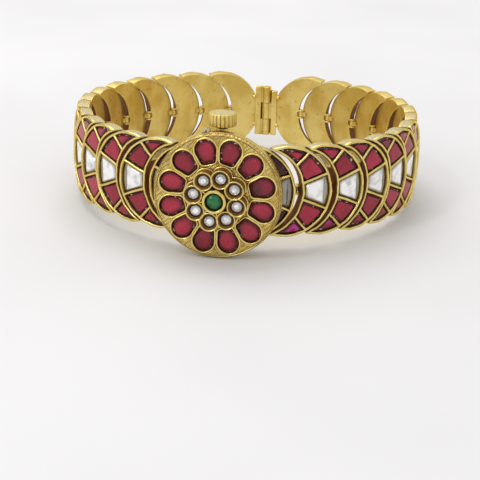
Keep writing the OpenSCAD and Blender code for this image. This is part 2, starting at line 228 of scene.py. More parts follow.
class Finish:
    """A material made of nodes, with one Principled shader."""

    def __init__(self, name, **constants):
        self.material = bpy.data.materials.new(name)
        self.material.use_nodes = True
        self.tree = self.material.node_tree
        self.shader = self.tree.nodes["Principled BSDF"]
        for socket, value in constants.items():
            self.shader.inputs[socket.replace("_", " ")].default_value = value
        self.place = self.node("ShaderNodeTexCoord", {}, {}, "Object")

    def node(self, kind, settings, inputs, output=0):
        """Adds a node: its settings first, then its sockets' values or links. Gives back one of its outputs."""
        made = self.tree.nodes.new(kind)
        for key, value in settings.items():
            setattr(made, key, value)
        for key, value in inputs.items():
            if isinstance(value, Signal):
                self.tree.links.new(value.socket, made.inputs[key])
            else:
                made.inputs[key].default_value = value
        return Signal(self, made.outputs[output])

    def mark(self, name):
        """One of the marks that the mesh carries on its points."""
        return self.node("ShaderNodeAttribute", {"attribute_name": name}, {}, "Fac")

    def noise(self, size, detail=3.0, place=None):
        """Noise from 0 to 1 with spots of about that size in millimetres."""
        inputs = {"Vector": place or self.place, "Scale": 1000 / size, "Detail": detail}
        return self.node("ShaderNodeTexNoise", {}, inputs)

    def between(self, low, high, share):
        """A smooth ramp from 0 at low to 1 at high."""
        settings = {"clamp": True, "interpolation_type": "SMOOTHSTEP"}
        return self.node("ShaderNodeMapRange", settings, {"Value": share, "From Min": low, "From Max": high})

    def blend(self, share, a, b):
        """Colour a where share is 0 and colour b where it is 1."""
        a, b = (colour if isinstance(colour, Signal) else (*colour, 1) for colour in (a, b))
        return self.node("ShaderNodeMix", {"data_type": "RGBA"}, {0: share, 6: a, 7: b}, 2)

    def bump(self, height, depth, strength=1.0, under=None):
        """A bump of that depth in millimetres, laid over another one."""
        inputs = {"Height": height, "Distance": depth / 1000, "Strength": strength}
        if under:
            inputs["Normal"] = under
        return self.node("ShaderNodeBump", {}, inputs)

    def drive(self, **signals):
        """Links signals to the shader's sockets and gives back the material."""
        for socket, value in signals.items():
            self.tree.links.new(value.socket, self.shader.inputs[socket.replace("_", " ")])
        return self.material


def gold_finish(name, texture):
    """Yellow gold: polished where its marks are 0 and brown where the first mark is 1; that brown is partly patina
    and partly painted shade in hollows, grooves and low parts. Where the first mark is below 0 it is filed and
    pale, and on faces turned up that pale is partly painted light. Where the second mark, named by texture, is 1,
    it is satin with brown specks and long rubbed streaks."""
    bright, warm, brown, umber = (0.83, 0.68, 0.27), (0.71, 0.54, 0.15), (0.25, 0.14, 0.035), (0.18, 0.056, 0.025)
    satin_pale, satin_deep, streak = (0.88, 0.72, 0.27), (0.74, 0.55, 0.15), (0.90, 0.76, 0.36)
    speck, filed_toplit_pale, filed_toplit_grey = (0.42, 0.26, 0.06), (0.62, 0.56, 0.37), (0.34, 0.28, 0.14)
    gold = Finish(name, Specular_Tint=(1.0, 0.84, 0.52, 1.0))
    patina_and_shade, second = gold.mark("patina_and_shade"), gold.mark(texture)
    cloud, grain, patch = gold.noise(1.6), gold.noise(0.16, 2.0), gold.noise(5.0, 4.0)
    upright = gold.node("ShaderNodeMapping", {}, {"Vector": gold.place, "Scale": (1.0, 1.0, 0.12)})
    rubbed = gold.noise(0.7, 4.0, upright)
    colour = gold.blend(gold.between(0.35, 0.68, cloud), bright, warm)
    satin = gold.blend(gold.between(0.38, 0.62, patch), satin_pale, satin_deep)
    satin = gold.blend(gold.between(0.5, 0.72, rubbed) * 0.3, satin, streak)
    satin = gold.blend(gold.between(0.59, 0.72, gold.noise(0.8, 5.0)) * 0.5, satin, speck)
    colour = gold.blend(second, colour, satin)
    # Filed and pale below 0: partly painted light on faces turned up.
    filed = gold.between(0.0, 0.6, 0.0 - patina_and_shade)
    filed_toplit_colour = gold.blend(gold.between(0.35, 0.65, grain), filed_toplit_pale, filed_toplit_grey)
    colour = gold.blend(filed, colour, filed_toplit_colour)
    # Painted shade with patina: brown, then umber, as the first mark goes up to 1.
    patina_and_shade_share = gold.between(0.0, 1.0, patina_and_shade + (cloud - 0.5) * gold.between(0.0, 0.5, patina_and_shade) * 0.4)
    colour = gold.blend(gold.between(0.0, 0.6, patina_and_shade_share), colour, brown)
    colour = gold.blend(gold.between(0.6, 1.0, patina_and_shade_share), colour, umber)
    rough = 0.19 + grain * 0.12 + second * 0.16 + patina_and_shade_share * 0.35 + filed * 0.25
    metal = 1.0 - patina_and_shade_share * 0.35 - filed * 0.45
    normal = gold.bump(cloud, 0.05, 0.35)
    normal = gold.bump(gold.noise(0.55, 2.0), 0.04, 0.35, normal)
    normal = gold.bump(grain, 0.012, 0.5, normal)
    normal = gold.bump(grain * filed, 0.05, 0.8, normal)
    return gold, dict(Base_Color=colour, Roughness=rough, Metallic=metal, Normal=normal)


link_gold, link_look = gold_finish("link_gold", "satin")
link_gold_material = link_gold.drive(**link_look)


def gold_piece(node, grids, body="bracelet", crease=32.0):
    """A piece of the links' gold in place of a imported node. Each grid is a shell closed at both ends."""
    shells = [(grid,) for grid in grids]
    mesh_piece(f"{node}_metal", shells, link_gold_material, ("patina_and_shade", "satin"), body, [node], crease)


def far_crossing(lines, centre, radius):
    """Distance along each line (foot x, angle, sideways shift) to its far crossing of a circle on the middle
    line: the larger root of the quadratic for |start + t direction - centre| = radius."""
    foot, angle, shift = (lines[:, k, None] for k in range(3))
    c, s = np.cos(angle), np.sin(angle)
    sx, sy = foot - shift * s - centre, shift * c
    b = sx * c + sy * s
    return -b + np.sqrt(b * b - sx * sx - sy * sy + radius * radius)


def on_line(lines, distance):
    """The points at those distances along each line."""
    foot, angle, shift = (lines[:, k, None] for k in range(3))
    c, s = np.cos(angle), np.sin(angle)
    return foot - shift * s + distance * c, shift * c + distance * s


def blended(a, b, count):
    """Lines between two lines, without the ends."""
    share = np.arange(1, count + 1)[:, None] / (count + 1)
    return np.array(a) * (1 - share) + np.array(b) * share


# Heights of the rims and dividers by the distance from their middle lines, and where the mesh has its columns.
rim_profile = ((0.0, 0.08, 0.14, 0.18, 0.20, 0.215), (2.0, 1.99, 1.95, 1.88, 1.72, 0.0))
divider_profile = ((0.0, 0.07, 0.13, 0.19, 0.21, 0.225), (1.98, 1.97, 1.93, 1.85, 1.62, 0.0))
rim_shifts = np.array([-0.20, -0.18, -0.14, -0.08, 0, 0.08, 0.14, 0.18, 0.20, 0.23])
divider_shifts = np.array([-0.235, -0.21, -0.19, -0.13, -0.07, 0, 0.07, 0.13, 0.19, 0.21, 0.235])


def crescent_lines():
    """Lines across the crescent from its lower horn to its upper horn: they fan out between the dividers and
    run beside each divider, so that its walls fall between two lines. A line is (foot x, angle, sideways
    shift)."""
    inner, outer = ([(x, np.radians(angle), shift) for shift in divider_shifts] for x, angle in spokes)
    foot = spokes[1][0] + horn_step
    middle, horn, tip = (middle_foot, 0, 0), (foot, np.radians(horn_angle), 0), (foot, np.radians(tip_angle), 0)
    upper = np.concatenate([
        blended(middle, inner[0], 3), inner, blended(inner[-1], outer[0], 4), outer, blended(outer[-1], horn, 5),
        [horn], blended(horn, tip, 6), [tip]])
    lower = upper[::-1] * (1, -1, -1)
    return np.concatenate([lower, [middle], upper])


def crescent(ledge_r, horn_gap=link_gap):
    """One link's plate in its own axes. Each row is the cross-section along one line: over the ledge, the hollow
    rim, the cell and the round rim, down the bevelled side and back along the inner face. In the horns, which are
    too narrow for all of it, the columns are squeezed together, but stay in order and a hair apart."""
    lines = crescent_lines()
    before = np.linalg.inv(link_place(2)) @ link_place(1) @ (round_x, 0, link_t, 1)
    slope = np.tan(np.radians(link_step))
    ledge_edge = far_crossing(lines, hollow_x, ledge_r)
    gap = np.interp(np.abs(on_line(lines, ledge_edge)[1]), horn_zone, (link_gap, horn_gap))
    other = arc_r + rim_half + gap

    def cut(z, r):
        """Distance along the lines to an arc round the link before this one, which leans away with height."""
        return far_crossing(lines, before[0] + (z - before[2]) * slope, r)

    edge = np.maximum(ledge_edge, cut(1.4, other))
    back_edge = np.maximum(ledge_edge, cut(0.0, other - back_bevel))
    notched = np.abs(on_line(lines, edge)[1]) < notch_half
    to_notch = (notch_x - lines[:, :1]) / np.cos(lines[:, 1:2])
    edge, back_edge = np.where(notched, to_notch, edge), np.where(notched, to_notch, back_edge)
    hollow = far_crossing(lines, hollow_x, arc_r + rim_shifts)
    outer = far_crossing(lines, round_x, arc_r - rim_shifts[::-1])
    end = outer[:, -1:]
    k, hair = np.arange(len(rim_shifts)), 0.005
    middle = np.clip((hollow[:, -1:] + outer[:, :1]) / 2, edge + 0.5 * (end - edge), end - 0.2 * (end - edge))
    hollow = np.minimum(np.maximum(hollow, edge + (4 + k) * hair), middle - (len(k) - k) * hair)
    outer = np.maximum(np.minimum(outer, end - (len(k) - 1 - k) * hair), middle + (3 + k) * hair)
    ledge = edge + (hollow[:, :1] - edge) * np.array([0, 0.06, 0.35, 0.7])
    bed = hollow[:, -1:] + (outer[:, :1] - hollow[:, -1:]) * np.array([0.25, 0.5, 0.75])
    top = np.concatenate([ledge, hollow, bed, outer], 1)
    x, y = on_line(lines, top)
    from_hollow, from_round = np.hypot(x - hollow_x, y), np.hypot(x - round_x, y)
    ledge_z = ledge_low + (from_hollow - ledge_r) / (arc_r - rim_half - ledge_r) * (ledge_high - ledge_low)
    z = np.where(from_hollow < arc_r - rim_half, ledge_z, cell_floor)
    z = np.maximum(z, np.interp(np.abs(from_hollow - arc_r), *rim_profile))
    z = np.maximum(z, np.interp(np.abs(from_round - arc_r), *rim_profile))
    inside = (from_hollow > arc_r) & (from_round < arc_r)
    for foot, angle in spokes:
        a = np.radians(angle)
        off = np.abs(np.abs(y) * np.cos(a) - (x - foot) * np.sin(a))
        z = np.maximum(z, np.where(inside, np.interp(off, *divider_profile), 0))
    z[:, 0] = np.minimum(z[:, 0], z[:, 1] - 0.05)
    # Painted shade with patina: brown that deepens down into the cells and over the ledge, darkest on the ledge
    # and the hollow rim's outer wall.
    patina_and_shade = np.interp(z, (0.4, 0.9, 1.5, 1.9, 2.0), (0.55, 1.0, 0.55, 0.08, 0.0))
    sunk = np.interp(z, (1.5, 1.85, 1.97), (0.92, 0.7, 0.0))
    patina_and_shade = np.where(from_hollow < arc_r - 0.1, np.maximum(sunk, patina_and_shade), patina_and_shade)
    foot = far_crossing(lines, round_x, arc_r + rim_half - back_bevel + 0.03)
    side_t = np.concatenate([end, end, end + (foot - end) * 0.9, foot], 1)
    side_z = [1.62, bevel_top, 0.2, 0.05]
    inner = foot - 0.06
    back_t = np.concatenate([inner + (back_edge + 0.05 - inner) * f for f in (0, 0.25, 0.5, 0.75, 1)], 1)
    low_t = np.concatenate([back_edge, np.maximum(back_edge, edge - 0.01)], 1)
    under = np.concatenate([side_t, back_t, low_t], 1)
    under_z = np.concatenate([side_z, np.zeros(5), [0.05, 0.38]]) + 0 * under
    under_x, under_y = on_line(lines, under)
    satin = np.concatenate([np.zeros_like(z), np.r_[0.2, 0.3, 0.5, 0.6, np.ones(7)] + 0 * under], 1)
    # Under the top: the side wall is filed and pale, partly painted light from above, and the edge under the ledge
    # is darker with painted shade.
    dark = np.concatenate([patina_and_shade, np.r_[-0.6, -0.6, -0.5, 0.0, np.full(5, 0.02), 0.3, 0.7] + 0 * under], 1)
    dark[notched[:, 0], -2:] = 0.1
    x, y, z = (np.concatenate(pair, 1) for pair in ((x, under_x), (y, under_y), (z, under_z)))
    return marked(x, y, z, dark, satin)


front_plate, back_plate = crescent(ledge_front), crescent(ledge_back, back_horn_gap)
open_plate = crescent(ledge_narrow)
open_link, first_back_link = ("right", 2), 8
# Three ledges near the head carry a painted reflection of the sky, pale below the upper horn: its strength on
# each, and the height of its middle.
sky_lit_ledges = {("right", 3): 1.6, ("right", 4): 1.2, ("left", 2): 1.4}
sky_patch_y, waver = 4.3, 0.034


def link_plate(word, n):
    """A link's own plate, made by hand: its rims waver by a few hundredths of a millimetre. The links at the back
    have a wider ledge, and on them the pale of the filed side walls, partly painted light from above, fades
    towards gold. On the right the second link's ledge is filed away, so that light shows through there. Three
    other ledges near the head carry a painted reflection of the sky, pale below the upper horn. The waver is two
    sines along X and two along Y, with phases of the link's own."""
    plate = (open_plate if (word, n) == open_link else front_plate if n < first_back_link else back_plate).copy()
    x, y, z, patina_and_shade = np.moveaxis(plate[..., :4], -1, 0)
    phase = np.random.default_rng(100 * n + {"right": 2, "left": 0}[word]).uniform(0, 2 * np.pi, 4)
    raised = waver * np.clip((z - 1.5) / 0.4, 0, 1)
    plate[..., 0] = x + raised * (np.sin(1.9 * y + phase[0]) + 0.6 * np.sin(4.7 * y + phase[1]))
    plate[..., 1] = y + raised * (np.sin(2.3 * x + 1.3 * y + phase[2]) + 0.6 * np.sin(5.1 * x + phase[3]))
    # Painted light: the pale of the filed side walls, lit from above, fades towards the back links.
    toplight_fade = np.clip((n - 6) / 5, 0, 1)
    plate[..., 3] = np.where(patina_and_shade < 0, patina_and_shade * (1 - 0.7 * toplight_fade), patina_and_shade)
    # Painted reflection of the sky on the upper part of these ledges.
    plate[:, :4, 3] -= sky_lit_ledges.get((word, n), 0) * np.clip(2.4 - 2 * np.abs(y[:, :4] - sky_patch_y), 0, 1)
    return plate


pivot_behind, pivot_in, pin_r, pin_half = 0.95, 1.5, 0.18, 0.78
knuckle_r, knuckle_in, knuckle_h, neck_half, neck_end = 0.45, 0.08, 0.8, 0.27, 0.2
hinge_room, ear_t, ear_reach, ear_out = 0.1, 0.3, 0.75, 0.38


def pivot_place(n):
    """From the axes of the pin behind link n (X along the ring, Z up the pin) to the ring's axes."""
    return turn("Z", link_angle(n) - np.degrees(pivot_behind / ring_r)) @ move(0, pivot_in - ring_r, 0)


def barrel(r, low, high, edge, count, first=0.0, second=0.0):
    """A turned barrel whose two rims are rounded along a quarter circle of radius edge."""
    q = np.radians([0, 30, 60, 90])
    radius, drop = r - edge + edge * np.sin(q), edge * (1 - np.cos(q))
    profile = np.concatenate([np.stack([radius, low + drop], 1), np.stack([radius, high - drop], 1)[::-1]])
    return lathe(profile, count, first, second)


def knuckle(low, high):
    """One round bead of the hinge. It stands a little inwards of the pin, level with the plate behind it."""
    return put(move(0, knuckle_in, 0), barrel(knuckle_r, low, high, 0.08, 20, 0.05, 0.8))


def middle_knuckle():
    """The hinge's middle bead and the neck that carries it."""
    half = knuckle_h / 2
    neck = block((-pivot_behind, -neck_half, -half), (-neck_end, neck_half, half), 0.06, 0.3)
    return [knuckle(-half, half), neck]


def link_grids(word, n):
    """A link's plate, its two ears with their pin, and the bead that the next link's pin goes through."""
    grids = [put(link_place(n), link_plate(word, n))]
    near, far = knuckle_h / 2 + hinge_room, knuckle_h / 2 + hinge_room + ear_t
    for low, high in ((-far, -near), (near, far)):
        arm = block((0, -ear_out, low), (ear_reach, knuckle_in + knuckle_r, high), 0.06, 0.1, 0.8)
        grids += [put(pivot_place(n), grid) for grid in (knuckle(low, high), arm)]
    grids.append(put(pivot_place(n), barrel(pin_r, -pin_half, pin_half, 0.05, 12)))
    if n < links_per_side:
        grids += [put(pivot_place(n + 1), grid) for grid in middle_knuckle()]
    return grids


# The clasp: a hinge barrel of three knuckles between two flat leaves. The left leaf holds the top and bottom
# knuckles and the right one the middle, and drops of solder fix both leaves to the last links.
barrel_r, clasp_back, clasp_half = 0.8, 27.0, 4.5
leaf_in, leaf_out, leaf_low, leaf_high = 0.98, 2.0, 26.4, 27.3
middle_half, leaf_play, right_top = 1.45, 0.1, 3.8
fold_in, fold_out, fold_depth, fold_inset, fold_lip, fold_lap, web_reach = 1.0, 1.3, 0.4, 0.05, 0.26, 0.1, 1.1
drop_r, drop_z, clasp_pin_r, clasp_pin_half = 0.38, 2.6, 0.38, 4.4


def clasp_grids(bottom, top, knuckles):
    """One side's leaf with the fold behind the barrel, dark with patina and painted shade, its knuckles from low
    to high, and its two drops of solder."""
    fold_low, fold_end = bottom + fold_inset, (fold_out, leaf_high + fold_depth, top - fold_inset)
    grids = [block((leaf_in, leaf_low, bottom), (leaf_out, leaf_high, top), 0.08, 0.0, 1.0),
             block((fold_in - fold_lip, leaf_high + fold_depth / 2, fold_low), fold_end, 0.05, 0.8),
             block((fold_in, leaf_high - fold_lap, fold_low), fold_end, 0.05, 0.8)]
    for low, high in knuckles:
        grids.append(put(move(0, clasp_back, 0), barrel(barrel_r, low, high, 0.06, 40, 0.0, 0.9)))
        web = (barrel_r / 2, leaf_low + leaf_play, low), (web_reach, leaf_high - leaf_play, high)
        grids.append(block(*web, 0.05, 0.25, 1.0))
    for z, out, back, satin in ((-drop_z, 0.06, 0.2, 1.0), (drop_z, 0.2, 0.05, 0.0)):
        drop = barrel(drop_r, -drop_r, drop_r, 0.35, 20, 0.0, satin)
        grids.append(put(move(leaf_out + out, leaf_low + back, z), drop))
    return grids


for side, word in ((1, "right"), (-1, "left")):
    for n in range(1, links_per_side + 1):
        grids = link_grids(word, n)
        if n == links_per_side and side > 0:
            grids += clasp_grids(-clasp_half, right_top, [(-middle_half, middle_half)])
        elif n == links_per_side:
            outer = middle_half + leaf_play
            grids += clasp_grids(-clasp_half, clasp_half, [(-clasp_half, -outer), (outer, clasp_half)])
        gold_piece(f"link_{word}_{n:02d}", [put(side_of(side), grid) for grid in grids])
clasp_pin = barrel(clasp_pin_r, -clasp_pin_half, clasp_pin_half, 0.12, 24)
gold_piece("clasp_pin", [put(move(0, clasp_back, 0), clasp_pin)])


# The red stones of the links: four in each, ground flat on top with a bevelled edge, and set in dark resin so
# that a line of it shows round each of them. Beside the head on the right, one stone in each of the first three
# links is pinker than the rest, and the first link's other three are painted nearly black, a painted shadow of
# the head.
stone_room, corner_cut = 0.08, 0.24


def four_places(a, b, ends):
    """Four places from a to b, with the two outer ones drawn in from the corners by that share."""
    return a + (b - a) * np.array([ends, 0.35, 0.65, 1 - ends])


def bow(a, b, centre):
    """Four places on the arc round a centre on the middle line from point a to point b."""
    radius = np.hypot(a[0] - centre, a[1])
    angles = [np.arctan2(p[1], p[0] - centre) for p in (a, b)]
    t = four_places(angles[0], angles[1], min(0.3, corner_cut / (radius * abs(angles[1] - angles[0]) + 1e-9)))
    return centre + radius * np.cos(t), radius * np.sin(t)


def bar(a, b):
    """Four places on the straight side from point a to point b."""
    cut = min(0.3, corner_cut / (np.hypot(b[0] - a[0], b[1] - a[1]) + 1e-9))
    return four_places(a[0], b[0], cut), four_places(a[1], b[1], cut)


def crossings(spoke, shift, arcs):
    """Where a divider's line, moved sideways, crosses each arc, given by its centre and its radius."""
    line = np.array([[spoke[0], np.radians(spoke[1]), shift]])
    points = (on_line(line, far_crossing(line, *arc)) for arc in arcs)
    return [(x[0, 0], y[0, 0]) for x, y in points]


def cell_outline(kind, insets, ground=False):
    """Outline of a cell of the crescent, each side drawn in by its own inset: the sides are the dividers' lines
    moved sideways and the two arcs, larger or smaller by the inset, and every corner is cut. The sides go
    first line, round arc, second line, hollow arc. A ground outline has straight sides in place of the arcs."""
    side = divider_half + stone_room + np.array(insets)
    small, large = arc_r - rim_half - stone_room - insets[1], arc_r + rim_half + stone_room + insets[3]
    first, second = spokes
    arcs = (hollow_x, large), (round_x, small)
    if kind == "white":
        corners = [(x, -y) for x, y in crossings(first, -side[0], arcs)] + crossings(first, -side[2], arcs[::-1])
    elif kind == "inner":
        corners = crossings(first, side[0], arcs) + crossings(second, -side[2], arcs[::-1])
    else:
        x = (large ** 2 - small ** 2 + round_x ** 2 - hollow_x ** 2) / (2 * (round_x - hollow_x))
        corners = crossings(second, side[0], arcs) + [(x, np.sqrt(large ** 2 - (x - hollow_x) ** 2))]
    arc = (lambda a, b, centre: bar(a, b)) if ground else bow
    sides = [bar(corners[0], corners[1]), arc(corners[1], corners[2], round_x)]
    if len(corners) > 3:
        sides.append(bar(corners[2], corners[3]))
    sides.append(arc(corners[-1], corners[0], hollow_x))
    return np.concatenate([np.stack(side, -1) for side in sides])


straight = {"white": 1.0, "inner": 0.7, "horn": 0.15}
resin_share = 0.3


def link_stone(kind, levels, lean, shade, insets):
    """A stone as outlines stacked up: each level is (share of the insets, height, border mark). The first ones
    fill the cell as its resin does, and the ground stone stands on them and leans a little. In a horn it ends
    short of the tip: the points past a limit are drawn back to it on their lines to the middle of the rest."""
    rows = []
    for share, height, border in levels:
        outline = cell_outline(kind, np.array(insets) * share)
        if share > resin_share:
            ground = cell_outline(kind, np.array(insets) * share, ground=True)
            outline = outline + (ground - outline) * straight[kind]
        if kind == "horn" and share > resin_share:
            foot, tip = outline[:, 1].min(), outline[:, 1].max()
            limit = foot + (tip - foot) * (0.74 + 0.2 * (shade % 1))
            past = outline[:, 1] > limit
            heart = outline[~past].mean(0)
            drawn = (limit - heart[1]) / (outline[past, 1] - heart[1])
            outline[past] = heart + (outline[past] - heart) * drawn[:, None]
        rise = (outline - outline.mean(0)) @ lean * np.clip((height - 1.6) / 0.2, 0, 1)
        rows.append(marked(outline[:, 0], outline[:, 1], height + rise, border, shade))
    return np.stack(rows)


ruby_levels = [
    (0.0, 0.90, 1), (0.0, 1.50, 1), (0.28, 1.56, 1), (0.62, 1.58, 0.9), (0.75, 1.67, 0.65), (1.1, 1.78, 0.36),
    (1.2, 1.795, 0.24), (1.7, 1.815, 0.08), (2.2, 1.82, 0)]
pink_shade, head_shadow_shade = 1.7, -1.0


def ruby_finish():
    """Deep red corundum: faint milky streaks inside, and a painted shade that darkens its edge where it goes down
    into the resin. The shade mark goes from black at -1 over dark at 0 and bright at 1 to pink; the black is a
    darker tone of some petals, and at -1 painted shadow on the first right link's stones."""
    dark_red, bright_red, deep_cloud = (0.26, 0.007, 0.024), (0.42, 0.016, 0.046), (0.20, 0.004, 0.012)
    black, milky, shaded_edge_red = (0.02, 0.006, 0.006), (0.58, 0.06, 0.12), (0.11, 0.005, 0.012)
    dark_pink, bright_pink = (0.26, 0.008, 0.05), (0.58, 0.03, 0.27)
    resin, glint_white = (0.065, 0.014, 0.014), (0.75, 0.68, 0.58)
    ruby = Finish("ruby", Specular_IOR_Level=0.3, Coat_Weight=0.3, Coat_Roughness=0.05)
    border, shade = ruby.mark("border"), ruby.mark("shade")
    streaks, cloud = ruby.noise(0.6, 4.0), ruby.noise(2.2)
    colour = ruby.blend(ruby.between(0.0, 1.0, shade), dark_red, bright_red)
    colour = ruby.blend(ruby.between(0.42, 0.75, cloud) * 0.6, colour, deep_cloud)
    # Near black: a darker tone of some petals, and at -1 painted shadow.
    colour = ruby.blend(ruby.between(0.2, 1.0, 0.0 - shade), colour, black)
    colour = ruby.blend(ruby.between(0.55, 0.72, streaks) * 0.25, colour, milky)
    pink = ruby.blend(ruby.between(0.47, 0.6, ruby.noise(1.1)), dark_pink, bright_pink)
    colour = ruby.blend(ruby.between(1.2, 1.6, shade), colour, pink)
    # Painted shade: the stone darkens towards its edge where it goes down into the resin.
    colour = ruby.blend(ruby.between(0.0, 0.4, border) * 0.75, colour, shaded_edge_red)
    colour = ruby.blend(ruby.between(0.3, 0.95, border), colour, resin)
    glint = ruby.between(0.61, 0.67, ruby.noise(0.5, 2.0)) * ruby.between(0.5, 0.7, border)
    colour = ruby.blend(glint * 0.8, colour, glint_white)
    return ruby.drive(
        Base_Color=colour, Roughness=0.14 + ruby.between(0.4, 0.7, streaks) * 0.15 + border * 0.3,
        Normal=ruby.bump(ruby.noise(0.8), 0.02, 0.4))


def stone_piece(node, stones, finish, crease):
    """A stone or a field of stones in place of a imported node. Each stone is a shell closed at both ends."""
    shells = [(stone,) for stone in stones]
    mesh_piece(f"{node}_cut", shells, finish, ("border", "shade"), "bracelet", [node], crease)


ruby = ruby_finish()
chance = np.random.default_rng(41)
for side, word in ((1, "right"), (-1, "left")):
    stones = []
    for n in range(1, links_per_side + 1):
        for kind in ("inner", "horn"):
            for up in (1, -1):
                lean, shade = chance.normal(0, 0.02, 2), chance.uniform(0, 1)
                insets = chance.uniform(0.12, 0.34, 4)
                if side > 0 and n < 4 and kind == "horn" and up < 0:
                    shade = pink_shade
                # Painted shadow of the head: the first right link's other stones go nearly black.
                elif side > 0 and n == 1:
                    shade = head_shadow_shade
                stone = link_stone(kind, ruby_levels, lean, shade, insets) * (1, up, 1, 1, 1)
                stones.append(put(side_of(side) @ link_place(n), stone))
    stone_piece(f"link_rubies_{word}", stones, ruby, 20)


# The white stones of the links: flat slices of uncut diamond on silver foil, one in the middle of each link.
# The foil is crimped up round them and shows gold-brown beside the rims.
polki_levels = [
    (0.0, 0.90, 1), (0.0, 1.46, 1), (0.2, 1.50, 1), (0.26, 1.54, 0.6), (0.5, 1.64, 0.3), (0.53, 1.645, 0.22),
    (0.8, 1.73, 0.16), (0.83, 1.735, 0.06), (1.12, 1.815, 0.03), (1.15, 1.816, 0.0), (1.7, 1.82, 0.0)]
crack_pitch, shadowed = 4.2, 3.0


def polki_finish():
    """Uncut diamond over foil: silvery, with a few fine cracks, grey clouds and a warm edge, grey lines of painted
    shade at the edges of its steps, and painted shadow where the shade mark is above 1.5.
    """
    silver, grey, crack_grey, warm = (0.98, 0.97, 0.98), (0.58, 0.58, 0.57), (0.25, 0.24, 0.22), (0.62, 0.58, 0.46)
    shadow, step_shade_grey, foil_brown = (0.16, 0.15, 0.12), (0.24, 0.23, 0.19), (0.25, 0.16, 0.055)
    white = Finish("polki", Coat_Weight=0.5, Coat_Roughness=0.04, IOR=1.9)
    border, shade = white.mark("border"), white.mark("shade")
    net = {"Vector": white.place, "Scale": 1000 / crack_pitch}
    cells = white.node("ShaderNodeTexVoronoi", {"feature": "DISTANCE_TO_EDGE"}, net)
    cracks = (1.0 - white.between(0.0, 0.02, cells)) * white.between(0.5, 0.65, white.noise(1.5))
    cloud = white.noise(1.3, 4.0)
    colour = white.blend(white.between(0.42, 0.72, cloud), silver, grey)
    colour = white.blend(cracks * 0.35, colour, crack_grey)
    colour = white.blend(white.between(0.0, 1.0, shade) * 0.12, colour, warm)
    colour = white.blend(white.between(1.5, 2.5, shade) * 0.8, colour, shadow)
    # Painted shade: grey lines at the edges of the steps.
    step = white.between(0.02, 0.06, border) * 0.45 + white.between(0.17, 0.22, border) * 0.35
    colour = white.blend(step, colour, step_shade_grey)
    colour = white.blend(white.between(0.34, 0.8, border), colour, foil_brown)
    return white.drive(
        Base_Color=colour, Roughness=0.1 + cloud * 0.14, Metallic=0.5 - border * 0.2,
        Normal=white.bump(cloud, 0.06, 0.6))


stones = []
for side in (1, -1):
    for n in range(1, links_per_side + 1):
        insets = chance.uniform(0.25, 0.45, 4) + (0.0, 0.25, 0.0, 0.05)
        lean, shade = chance.normal(0, 0.03, 2), chance.uniform(0, 1) if side < 0 or n > 1 else shadowed
        stone = link_stone("white", polki_levels, lean, shade, insets)
        stone[4:, :, 2] += chance.normal(0, 0.012, stone[4:, :, 2].shape)
        stones.append(put(side_of(side) @ link_place(n), stone))
stone_piece("link_whites", stones, polki_finish(), 8)


# The head's case: a plain drum behind the cover, with the winding tube soldered down its front and a hinge
# barrel on each side for the first links.
crown_back, tube_r, tube_foot, tube_top = 27.3, 0.85, -3.0, 9.5
drum_r, drum_back, drum_front = 4.85, 25.85, 28.75
grids = [put(turn("X", 90), barrel(drum_r, drum_back, drum_front, 0.3, 96, 0.2, 0.8)),
         put(move(0, -crown_back, 0), barrel(tube_r, tube_foot, tube_top, 0.12, 40, 0.25, 0.5))]
for side in (1, -1):
    grids += [put(side_of(side) @ pivot_place(1), grid) for grid in middle_knuckle()]
gold_piece("head_case", grids)


# The head's cover: a disc with a bevelled rim, chased with fine strokes, and twelve petal cells with raised rims.
# A flower of eight cups stands up in its middle round a taller collar, and a small knurled lip stands out of its
# edge beside the crown. All of it is soldered into one.
cover_back, cover_r, cover_t = 28.8, 9.5, 2.2
petals, petal_ring_r, petal_r, petal_heel, petal_side = 12, 7.15, 1.57, 2.15, (1.528, -13.7)
field_out, field_in = 9.06, 3.4
head_place = move(0, -cover_back, 0) @ turn("X", 90)


def petal_outline(angle, off=0.0):
    """The petal cell's outline, seen from the middle of its round end: a circle on the outer side, and inside it
    the soft minimum of two sides and a heel. off moves it outwards along its normal."""

    def reach(a):
        """Distance to the outline: the tenth root of a sum of tenth powers rounds the corners of the three
        straight sides, each of which is given by the direction and the length of its perpendicular."""
        side = np.radians(petal_side[1])
        sides = ((side, petal_side[0]), (np.pi - side, petal_side[0]), (-np.pi / 2, petal_heel))
        total = sum((np.maximum(np.cos(a - direction), 1e-6) / far) ** 10 for direction, far in sides)
        return np.where(np.sin(a) < -0.15, np.maximum(petal_r, total ** -0.1), petal_r)

    def at(a):
        """The outline's point at an angle."""
        return np.stack([reach(a) * np.cos(a), reach(a) * np.sin(a)], -1)

    along = at(angle + 0.004) - at(angle - 0.004)
    normal = np.stack([along[..., 1], -along[..., 0]], -1) / np.hypot(along[..., 0], along[..., 1])[..., None]
    return at(angle) + np.reshape(off, (-1, 1)) * normal


def petal_place(k):
    """From a petal's axes (Y outwards, origin in the middle of its round end) to the head's axes."""
    return turn("Z", -(k - 0.5) * 360 / petals) @ move(0, petal_ring_r, 0)


petal_rim = ((0.0, 0.015, 0.05, 0.11, 0.17, 0.23, 0.29, 0.33, 0.35),
             (2.16, 2.29, 2.37, 2.415, 2.42, 2.40, 2.34, 2.24, 2.2))


